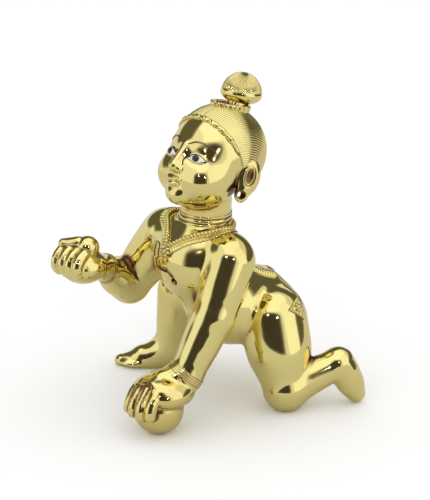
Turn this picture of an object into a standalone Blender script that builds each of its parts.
# Crawling child idol: one solid brass casting.
# The figure kneels on its left knee and left toes, has its right foot flat on the ground,
# leans on a ball under its left hand and holds up a small round sweet in its right hand.
# The left of the figure is +X, it crawls toward -Y, and the ground is the plane Z = 0.

import math

import bmesh
import bpy
import numpy as np

for old in list(bpy.data.objects):
    bpy.data.objects.remove(old, do_unlink=True)


# Driving dimensions, metres

HEIGHT = 0.100              # ground to the top of the hair knot
GRID_STEP = 0.00085         # spacing of the grid the forms are read on
TRIANGLES = 9600            # facets of the finished solid
EAR_HOLE_RADIUS = 0.00115   # ear-ring hole in each lobe
EAR_HOLE_LENGTH = 0.0050

# Everything below is in about hundredths of the height, so the pose and the carving grow with it.

FAR = 40.0


def vec(x, y, z):
    return np.array((x, y, z), float)


def unit(v):
    return v/np.linalg.norm(v)


def turn(yaw, pitch=0.0):
    """Own left, back and up directions of a form that looks left by yaw and up by pitch."""
    y = math.radians(yaw)
    p = math.radians(pitch)
    rz = np.array(((math.cos(y), -math.sin(y), 0), (math.sin(y), math.cos(y), 0), (0, 0, 1)))
    rx = np.array(((1, 0, 0), (0, math.cos(p), math.sin(p)), (0, -math.sin(p), math.cos(p))))
    return rz @ rx


UP = vec(0, 0, 1)

# Places of the body

BALL_R = 7.3
BALL = vec(17.3, -34.2, 7.15)
HEAD = vec(0.0, -9.7, 75.8)
HEAD_TURN = turn(21, 21)
NECK_LOW = vec(-0.4, -12.6, 51.0)
NECK_TOP = vec(-0.2, -11.8, 63.0)
SHOULDER_L = vec(13.2, -9.8, 48.0)
ELBOW_L = vec(16.2, -16.4, 33.0)
WRIST_L = vec(17.8, -25.6, 16.9)
SHOULDER_R = vec(-13.8, -19.2, 48.8)
ELBOW_R = vec(-22.0, -28.0, 31.6)
WRIST_R = vec(-14.8, -38.2, 40.3)
HIP_L = vec(9.4, 5.6, 26.0)
KNEE_L = vec(16.4, 6.6, 6.3)
ANKLE_L = vec(19.0, 21.6, 12.6)
HIP_R = vec(-9.0, 7.0, 26.5)
KNEE_R = vec(-26.2, -10.0, 25.0)
ANKLE_R = vec(-27.0, -12.4, 6.0)
HAND_L_WAY = unit(vec(0.5, -0.866, 0))      # where the left fingers point
HAND_R_WAY = unit(vec(0.45, -0.89, 0))      # where the right fingers point
FOOT_R_WAY = unit(vec(-0.455, -0.89, 0))    # where the right toes point
FINGERS_L = (-5.5, -2.8, 0.2, 3.1)          # sideways places of the fingers
FINGERS_R = (-5.9, -3.3, -0.6, 2.5)
SWEET_R = 3.5
LOW = vec(-44, -62, -4)
HIGH = vec(34, 38, 104)


# Forms as distances: below zero inside, above zero outside

def merge(a, b, blend):
    h = np.maximum(1.0 - np.abs(a - b)/blend, 0.0)
    return np.minimum(a, b) - blend*h**3/6.0


def overlap(a, b, blend):
    return -merge(-a, -b, blend)


def carve(a, b, blend):
    return -merge(-a, b, blend)


def egg(p, centre, radii, frame=None):
    q = p - centre
    if frame is not None:
        q = q @ frame
    radii = np.array(radii, float)
    k0 = np.sqrt(((q/radii)**2).sum(1))
    k1 = np.sqrt(((q/radii**2)**2).sum(1))
    return k0*(k0 - 1.0)/np.maximum(k1, 1e-9)


def ball(p, centre, radius):
    return np.sqrt(((p - centre)**2).sum(1)) - radius


def limb(p, start, end, radii):
    """Round bar from start to end whose radius eases through the given values."""
    axis = end - start
    t = np.clip((p - start) @ axis/(axis @ axis), 0.0, 1.0)
    r = np.array(radii, float)
    n = len(r) - 1
    s = np.minimum((t*n).astype(int), n - 1)
    w = t*n - s
    slope = np.zeros(n + 1)
    slope[1:-1] = (r[2:] - r[:-2])/2.0
    radius = ((2*w**3 - 3*w**2 + 1)*r[s] + (w**3 - 2*w**2 + w)*slope[s]
              + (3*w**2 - 2*w**3)*r[s + 1] + (w**3 - w**2)*slope[s + 1])
    off = p - start - t[:, None]*axis
    return np.sqrt((off**2).sum(1)) - radius


def cone(p, low, high, low_radius, high_radius):
    """Flared ring between two heights of an axis."""
    axis = high - low
    length = np.linalg.norm(axis)
    along = (p - low) @ axis/length
    t = np.clip(along/length, 0.0, 1.0)
    off = p - low - (along/length)[:, None]*axis
    side = np.sqrt((off**2).sum(1)) - (low_radius + (high_radius - low_radius)*t)
    ends = np.abs(along - length/2) - length/2
    return overlap(side, ends, 0.7)


def boxed(p, low, high, form):
    """A form worked out only near itself."""
    out = np.full(len(p), FAR)
    near = np.all((p > low) & (p < high), axis=1)
    if near.any():
        out[near] = form(p[near])
    return out


# Body

def torso(p):
    d = egg(p, vec(0, 6.8, 26.6), (12.6, 10.0, 10.2), turn(0, -40))
    d = merge(d, egg(p, vec(6.4, 7.8, 24.8), (9.2, 8.5, 9.4)), 3.0)
    d = merge(d, egg(p, vec(-6.4, 8.6, 25.8), (9.2, 8.6, 9.6)), 3.0)
    d = merge(d, egg(p, vec(0.5, -5.6, 30.6), (13.0, 14.0, 11.8), turn(6, 42)), 7.0)
    d = merge(d, egg(p, vec(0.5, -15.0, 44.5), (13.6, 11.8, 12.6), turn(20, -30)), 8.0)
    d = carve(d, limb(p, vec(0, 19.0, 32.0), vec(0, 17.6, 17.0), (0.8, 2.2, 1.6)), 1.6)
    left = SHOULDER_L + vec(-2, 0, 1.5)
    right = SHOULDER_R + vec(2, 0, 1.5)
    return merge(d, limb(p, left, right, (6.6, 7.4, 6.8)), 5.0)


def arm_left(p):
    d = limb(p, SHOULDER_L, ELBOW_L, (7.1, 7.0, 6.2))
    return merge(d, limb(p, ELBOW_L, WRIST_L, (6.2, 5.7, 4.9)), 2.0)


def arm_right(p):
    d = limb(p, SHOULDER_R, ELBOW_R, (7.6, 7.2, 6.2))
    return merge(d, limb(p, ELBOW_R, WRIST_R, (6.0, 5.9, 4.0)), 2.0)


def leg_left(p):
    d = limb(p, HIP_L, KNEE_L, (10.0, 9.4, 6.5))
    return merge(d, limb(p, KNEE_L, ANKLE_L, (6.1, 4.9, 3.8)), 2.0)


def leg_right(p):
    d = limb(p, HIP_R, KNEE_R, (10.0, 9.0, 6.4))
    return merge(d, limb(p, KNEE_R, ANKLE_R, (6.6, 6.0, 4.9)), 2.0)


def foot_left(p):
    d = limb(p, vec(19.2, 23.2, 13.8), vec(20.4, 27.6, 4.6), (3.9, 3.5, 3.0))
    return merge(d, limb(p, vec(20.4, 27.4, 4.4), vec(20.6, 28.6, 1.9), (2.8, 2.2)), 1.5)


def foot_right(p):
    side = np.cross(UP, FOOT_R_WAY)
    frame = np.stack((side, FOOT_R_WAY, UP), 1)
    heel = ANKLE_R*vec(1, 1, 0) - FOOT_R_WAY*1.6
    d = limb(p, heel + UP*3.1, heel + FOOT_R_WAY*11 + UP*2.6, (3.6, 3.9, 3.4))
    instep = limb(p, ANKLE_R + UP*2.5, heel + FOOT_R_WAY*8.5 + UP*2.6, (4.2, 3.6))
    d = merge(d, instep, 4.0)
    toes = limb(p, heel + FOOT_R_WAY*11 + UP*2.4, heel + FOOT_R_WAY*17.6 + UP*1.2, (3.0, 1.9))
    d = merge(d, toes, 2.0)
    return merge(d, egg(p, heel + FOOT_R_WAY*13 + UP*1.4, (4.6, 5.6, 1.8), frame), 1.5)


def chain(p, points, radii):
    """Finger: a row of short bars joined end to end."""
    d = limb(p, points[0], points[1], radii[:2])
    for k in range(1, len(points) - 1):
        d = np.minimum(d, limb(p, points[k], points[k + 1], radii[k:k + 2]))
    return d


def hand_left(p):
    """Palm down on the ball, the fingers laid over its front."""
    side = np.cross(HAND_L_WAY, UP)*-1.0
    frame = np.stack((side, HAND_L_WAY, UP), 1)
    q = (p - BALL) @ frame
    wrist = (WRIST_L - BALL) @ frame
    d = limb(q, wrist, vec(0.4, -1.5, 8.2), (4.7, 4.4, 3.6))
    d = merge(d, limb(q, wrist, vec(4.6, -4.4, 5.0), (4.7, 3.8)), 2.0)
    d = merge(d, egg(q, vec(0.0, 0.4, 7.6), (6.8, 6.0, 2.9)), 2.0)
    d = merge(d, egg(q, vec(3.4, -1.4, 5.4), (6.0, 7.6, 4.2)), 2.0)
    for s in FINGERS_L:
        reach = math.sqrt((BALL_R + 1.3)**2 - s*s)
        curl = np.radians(np.linspace(12, 84 - 0.8*abs(s), 9))
        points = [vec(s, reach*math.sin(a), reach*math.cos(a)) for a in curl]
        d = merge(d, chain(q, points, np.linspace(2.0, 1.5, 9)), 0.7)
    for s in FINGERS_L[1:]:
        s = s - 1.4
        reach = math.sqrt((BALL_R + 3.1)**2 - s*s)
        curl = np.radians(np.linspace(26, 78, 6))
        points = [vec(s, reach*math.sin(a), reach*math.cos(a)) for a in curl]
        d = carve(d, chain(q, points, (0.1, 0.75, 0.95, 0.9, 0.6, 0.1)), 0.25)
    web = egg(q, vec(-1.4, 5.0, 6.4), (7.6, 6.2, 5.6))
    d = merge(d, overlap(ball(q, vec(0, 0, 0), BALL_R + 0.8), web, 0.4), 0.4)
    d = merge(d, limb(q, vec(-4.6, -4.6, 7.0), vec(-7.8, 0.2, 3.2), (2.4, 1.9)), 1.0)
    return merge(d, limb(q, vec(-7.8, 0.2, 3.2), vec(-7.2, 4.0, 1.4), (1.9, 1.5)), 0.6)


def hand_right(p):
    """Palm up, the fingers curled back over a small round sweet."""
    side = np.cross(UP, HAND_R_WAY)*-1.0
    side = side*np.sign(side[0])
    frame = np.stack((side, HAND_R_WAY, UP), 1)
    palm = WRIST_R + HAND_R_WAY*7.2 + UP*4.7
    q = (p - palm) @ frame
    wrist = (WRIST_R - palm) @ frame
    d = limb(q, wrist, vec(0.3, 0, -1.8), (4.0, 4.1, 4.2))
    d = merge(d, egg(q, vec(-0.6, 1.8, -1.8), (6.6, 6.5, 4.9)), 2.0)
    for s in FINGERS_R:
        curl = np.radians(np.linspace(-46, 62, 8))
        points = [vec(s, 1.6 + 5.8*math.cos(a), -0.6 + 4.3*math.sin(a)) for a in curl]
        d = merge(d, chain(q, points, np.linspace(1.75, 1.6, 8)), 0.7)
    for s in FINGERS_R[1:]:
        curl = np.radians(np.linspace(-44, 56, 6))
        points = [vec(s - 1.35, 1.6 + 7.6*math.cos(a), -0.6 + 6.1*math.sin(a)) for a in curl]
        d = carve(d, chain(q, points, (0.1, 0.5, 0.65, 0.7, 0.6, 0.35)), 0.25)
    d = merge(d, egg(q, vec(-1.0, 2.4, 1.2), (5.6, 4.2, 3.4)), 0.8)
    d = merge(d, limb(q, vec(-5.2, -3.6, -1.0), vec(-6.6, 2.0, 3.6), (2.5, 2.0)), 1.2)
    d = merge(d, limb(q, vec(-5.9, 4.2, 4.7), vec(-1.6, 2.2, 5.4), (1.6, 1.9)), 0.6)
    return merge(d, ball(q, vec(0.5, 0.8, 4.0), SWEET_R), 0.5)


# Head, in its own directions: x to its left, y to its back, z to its crown

def ear(q, s):
    r = (q - vec(12.9*s, 2.8, -3.0)) @ turn(-24*s)
    d = egg(r, vec(0, 0, 0), (1.9, 3.5, 5.4))
    d = carve(d, egg(r, vec(1.9*s, -0.2, 0.4), (1.2, 1.7, 3.2)), 0.6)
    return merge(d, egg(r, vec(0, -0.8, -5.2), (1.5, 2.1, 2.5)), 1.6)


def hair_side(q):
    """Below zero behind the hairline and above the nape."""
    front = (-1.4 - 1.467*q[:, 1] - 0.024*q[:, 1]**2 - q[:, 2])*0.56
    return np.maximum(front, -8.0 - q[:, 2])


def head(p):
    q = (p - HEAD) @ HEAD_TURN
    d = egg(q, vec(0, 1.9, 2.4), (12.7, 13.5, 12.9))
    d = merge(d, egg(q, vec(0, -2.2, 2.6), (11.0, 9.4, 8.0)), 3.0)
    hair = egg(q, vec(0, 1.9, 2.4), (13.2, 13.8, 13.5))
    d = merge(d, overlap(hair, hair_side(q), 0.5), 0.3)
    d = merge(d, egg(q, vec(0, -3.8, -5.6), (11.3, 10.0, 10.6)), 6.0)
    for s in (1, -1):
        d = merge(d, egg(q, vec(5.4*s, -7.6, -7.0), (5.4, 5.4, 5.6)), 3.0)
        d = carve(d, egg(q, vec(5.2*s, -14.2, -1.4), (3.9, 2.3, 2.3), turn(20*s)), 2.4)
        d = merge(d, egg(q, vec(5.1*s, -10.5, -1.6), (3.0, 2.2, 1.8), turn(24*s)), 0.5)
    d = merge(d, egg(q, vec(0, -10.4, -12.9), (3.6, 3.0, 2.8)), 4.0)
    d = merge(d, limb(q, vec(0, -12.3, 1.2), vec(0, -14.9, -4.8), (0.9, 1.3)), 2.6)
    d = merge(d, ball(q, vec(0, -14.9, -5.2), 1.35), 1.2)
    for s in (1, -1):
        d = merge(d, ball(q, vec(1.45*s, -14.0, -5.6), 1.0), 0.9)
        d = merge(d, egg(q, vec(1.0*s, -13.5, -8.6), (1.9, 1.2, 0.75), turn(14*s)), 0.7)
    d = merge(d, egg(q, vec(0, -13.3, -10.0), (2.1, 1.2, 0.85)), 0.7)
    for s in (1, -1):
        d = merge(d, ear(q, s), 1.0)
    return d


def dome(q, centre):
    """Bun: a high dome above its rim and a shallow one below."""
    r = (q - centre) @ turn(0, -7)
    top = egg(r, vec(0, 0, 0), (6.1, 6.1, 6.5))
    low = egg(r, vec(0, 0, 0), (6.1, 6.1, 2.0))
    return np.where(r[:, 2] > 0, top, low)


def topknot(p):
    q = (p - HEAD) @ HEAD_TURN
    d = limb(q, vec(0, 3.2, 12), vec(0, 3.6, 20), (3.2, 2.9))
    d = merge(d, cone(q, vec(0, 3.2, 13.2), vec(0, 3.5, 16.1), 4.6, 5.5), 0.7)
    return merge(d, dome(q, vec(0, 4.4, 19.4)), 0.7)


def figure(p):
    d = torso(p)
    d = merge(d, boxed(p, vec(-3, -8, -3), vec(28, 32, 40), leg_left), 2.5)
    d = merge(d, boxed(p, vec(-38, -24, -3), vec(4, 22, 40), leg_right), 2.5)
    d = merge(d, boxed(p, vec(2, -36, 8), vec(28, 2, 60), arm_left), 2.2)
    d = merge(d, boxed(p, vec(-34, -48, 20), vec(-2, -6, 62), arm_right), 2.2)
    d = merge(d, boxed(p, vec(4, -50, -3), vec(34, -16, 26), hand_left), 1.5)
    d = merge(d, ball(p, BALL, BALL_R), 0.6)
    d = merge(d, boxed(p, vec(-28, -62, 30), vec(4, -30, 56), hand_right), 1.5)
    d = merge(d, boxed(p, vec(12, 14, -3), vec(28, 38, 24), foot_left), 1.5)
    d = merge(d, boxed(p, vec(-46, -38, -3), vec(-18, -2, 14), foot_right), 3.0)
    d = merge(d, limb(p, NECK_LOW, NECK_TOP, (9.0, 7.8, 7.4)), 3.0)
    d = merge(d, boxed(p, vec(-22, -34, 50), vec(22, 16, 98), head), 1.5)
    return merge(d, boxed(p, vec(-14, -20, 80), vec(14, 16, 108), topknot), 0.8)


# Surface

def read_field(form, low, high, step, block=8):
    """Values of a form on a grid; far blocks only get their side."""
    blocks = np.ceil((high - low)/step/block).astype(int)
    count = blocks*block
    centre = [low[k] + step*(np.arange(blocks[k])*block + (block - 1)/2.0) for k in range(3)]
    centres = np.stack(np.meshgrid(*centre, indexing="ij"), -1).reshape(-1, 3)
    coarse = form(centres)
    grid = np.where(coarse < 0, -FAR, FAR)[:, None]*np.ones(block**3)
    near = np.nonzero(np.abs(coarse) < step*block*1.7 + 0.3)[0]
    line = (np.arange(block) - (block - 1)/2.0)*step
    cell = np.stack(np.meshgrid(line, line, line, indexing="ij"), -1).reshape(-1, 3)
    for i in range(0, len(near), 512):
        part = near[i:i + 512]
        points = (centres[part][:, None, :] + cell[None]).reshape(-1, 3)
        grid[part] = form(points).reshape(len(part), -1)
    grid = grid.reshape(*blocks, block, block, block)
    return grid.transpose(0, 3, 1, 4, 2, 5).reshape(count)


def untangle(grid):
    """Fills the grid points where the surface would touch itself along an edge or at a corner."""
    while True:
        inside = grid < 0
        fill = np.zeros(grid.shape, bool)
        for axis in range(3):
            v = np.moveaxis(inside, axis, 2)
            f = np.moveaxis(fill, axis, 2)
            a, b, c, d = v[:-1, :-1], v[1:, :-1], v[:-1, 1:], v[1:, 1:]
            crossed = (a == d) & (b == c) & (a != b)
            f[:-1, :-1] |= crossed & ~a
            f[1:, :-1] |= crossed & a
        corners = [inside[i:i - 1 or None, j:j - 1 or None, k:k - 1 or None]
                   for i in (0, 1) for j in (0, 1) for k in (0, 1)]
        total = sum(corner.astype(int) for corner in corners)
        for near, away in ((0, 7), (1, 6), (2, 5), (3, 4)):
            pair = (corners[near] == corners[away]) & (total == np.where(corners[near], 2, 6))
            i, j, k = near >> 2, near >> 1 & 1, near & 1
            f = fill[i:i - 1 or None, j:j - 1 or None, k:k - 1 or None]
            f |= pair & ~corners[near]
            f = fill[1 - i:-i or None, j:j - 1 or None, k:k - 1 or None]
            f |= pair & corners[near]
        fill &= ~inside
        if not fill.any():
            return grid
        grid = np.where(fill, -0.01, grid)


def surface_net(grid, low, step):
    """One vertex for each cell the surface crosses and one quad for each crossed grid edge."""
    n = np.array(grid.shape)
    inside = grid < 0
    count = np.zeros(n - 1, int)
    for i in (0, 1):
        for j in (0, 1):
            for k in (0, 1):
                count += inside[i:n[0] - 1 + i, j:n[1] - 1 + j, k:n[2] - 1 + k]
    live = (count > 0) & (count < 8)
    cells = np.argwhere(live)
    index = np.full(n - 1, -1)
    index[live] = np.arange(len(cells))
    total = np.zeros((len(cells), 3))
    hits = np.zeros(len(cells))
    for axis in range(3):
        first, second = [k for k in range(3) if k != axis]
        for a in (0, 1):
            for b in (0, 1):
                start = cells.copy()
                start[:, first] += a
                start[:, second] += b
                end = start.copy()
                end[:, axis] += 1
                ds = grid[start[:, 0], start[:, 1], start[:, 2]]
                de = grid[end[:, 0], end[:, 1], end[:, 2]]
                cut = (ds < 0) != (de < 0)
                t = np.where(cut, ds/np.where(cut, ds - de, 1.0), 0.0)
                point = start.astype(float)
                point[:, axis] += t
                total[cut] += point[cut]
                hits[cut] += 1
    vertices = low + step*total/hits[:, None]
    faces = []
    for axis in range(3):
        first, second = (axis + 1) % 3, (axis + 2) % 3
        here = [slice(1, -1)]*3
        there = [slice(1, -1)]*3
        here[axis] = slice(0, n[axis] - 1)
        there[axis] = slice(1, n[axis])
        a = inside[tuple(here)]
        b = inside[tuple(there)]
        base = np.argwhere(a != b)
        outward = a[a != b]
        base[:, first] += 1
        base[:, second] += 1
        corners = []
        for i, j in ((1, 1), (0, 1), (0, 0), (1, 0)):
            corner = base.copy()
            corner[:, first] -= i
            corner[:, second] -= j
            corners.append(index[corner[:, 0], corner[:, 1], corner[:, 2]])
        quads = np.stack(corners, 1)
        quads[~outward] = quads[~outward][:, ::-1]
        faces.append(quads)
    return vertices, np.concatenate(faces)


def settle(form, vertices, rounds=2):
    """Moves the vertices onto the surface of the form."""
    for _ in range(rounds):
        slope = np.empty_like(vertices)
        for k in range(3):
            step = np.zeros(3)
            step[k] = 0.02
            slope[:, k] = (form(vertices + step) - form(vertices - step))/0.04
        move = (form(vertices)/np.maximum((slope**2).sum(1), 0.25))[:, None]*slope
        size = np.sqrt((move**2).sum(1))[:, None]
        vertices = vertices - move*np.minimum(1.0, 0.4/np.maximum(size, 1e-9))
    return vertices


step = GRID_STEP/HEIGHT*100.0
points, quads = surface_net(untangle(read_field(figure, LOW, HIGH, step)), LOW, step)
points = settle(figure, points)
dense_mesh = bpy.data.meshes.new("dense")
size = HEIGHT/points[:, 2].max()
dense_mesh.from_pydata((points*size).tolist(), [], quads.tolist())
dense = bpy.data.objects.new("dense", dense_mesh)
bpy.context.scene.collection.objects.link(dense)
fewer = dense.modifiers.new("fewer_facets", "DECIMATE")
fewer.ratio = TRIANGLES/(2.0*len(quads))
thinned = dense.evaluated_get(bpy.context.evaluated_depsgraph_get())
mesh = bpy.data.meshes.new_from_object(thinned)
mesh.name = "figure"
bpy.data.objects.remove(dense, do_unlink=True)
bpy.data.meshes.remove(dense_mesh)
bm = bmesh.new()
bm.from_mesh(mesh)

# The ground takes flats off the ball, the left knee, the left toes and the right sole.
everything = bm.verts[:] + bm.edges[:] + bm.faces[:]
bmesh.ops.bisect_plane(bm, geom=everything, dist=1e-7, plane_co=(0, 0, 0), plane_no=(0, 0, 1),
                       clear_inner=True)
rims = [edge for edge in bm.edges if edge.is_boundary]
bmesh.ops.holes_fill(bm, edges=rims, sides=0)
bmesh.ops.triangulate(bm, faces=bm.faces[:])
bmesh.ops.recalc_face_normals(bm, faces=bm.faces[:])

# The origin lies on the ground under the middle of the figure.
places = np.array([vertex.co[:] for vertex in bm.verts])
middle = (places.min(0) + places.max(0))/2.0
shift = np.array((-middle[0], -middle[1], 0.0))
bmesh.ops.translate(bm, vec=shift, verts=bm.verts[:])
bm.to_mesh(mesh)
bm.free()
for polygon in mesh.polygons:
    polygon.use_smooth = True
figure_object = bpy.data.objects.new("figure", mesh)
bpy.context.scene.collection.objects.link(figure_object)

# Ear-ring holes, bored through the lobes from the front of the ear to the back.
for name, s in (("left", 1), ("right", -1)):
    lobe = HEAD + HEAD_TURN @ vec(13.0*s, 1.4, -8.3)
    way = HEAD_TURN @ unit(vec(0.97*s, -0.25, 0.0))
    bore_mesh = bpy.data.meshes.new("ear_hole_" + name)
    bore = bpy.data.objects.new("ear_hole_" + name, bore_mesh)
    bm = bmesh.new()
    bmesh.ops.create_cone(bm, cap_ends=True, segments=24, radius1=EAR_HOLE_RADIUS,
                          radius2=EAR_HOLE_RADIUS, depth=EAR_HOLE_LENGTH)
    side = unit(np.cross(UP, way))
    over = np.cross(way, side)
    for vertex in bm.verts:
        x, y, z = vertex.co
        vertex.co = lobe*size + shift + side*x + over*y + way*z
    bm.to_mesh(bore_mesh)
    bm.free()
    bpy.context.scene.collection.objects.link(bore)
    bore.hide_render = True
    bore.display_type = "WIRE"
    hole = figure_object.modifiers.new("ear_hole_" + name, "BOOLEAN")
    hole.operation = "DIFFERENCE"
    hole.solver = "EXACT"
    hole.object = bore

# Polished brass.
brass = bpy.data.materials.new("brass")
brass.use_nodes = True
shader = brass.node_tree.nodes["Principled BSDF"]
shader.inputs["Base Color"].default_value = (0.84, 0.66, 0.27, 1.0)
shader.inputs["Metallic"].default_value = 1.0
shader.inputs["Roughness"].default_value = 0.16
mesh.materials.append(brass)
print("figure", len(mesh.polygons), "facets, moved by", (shift*1000).round(3), "mm, scale", round(size*1000, 5))
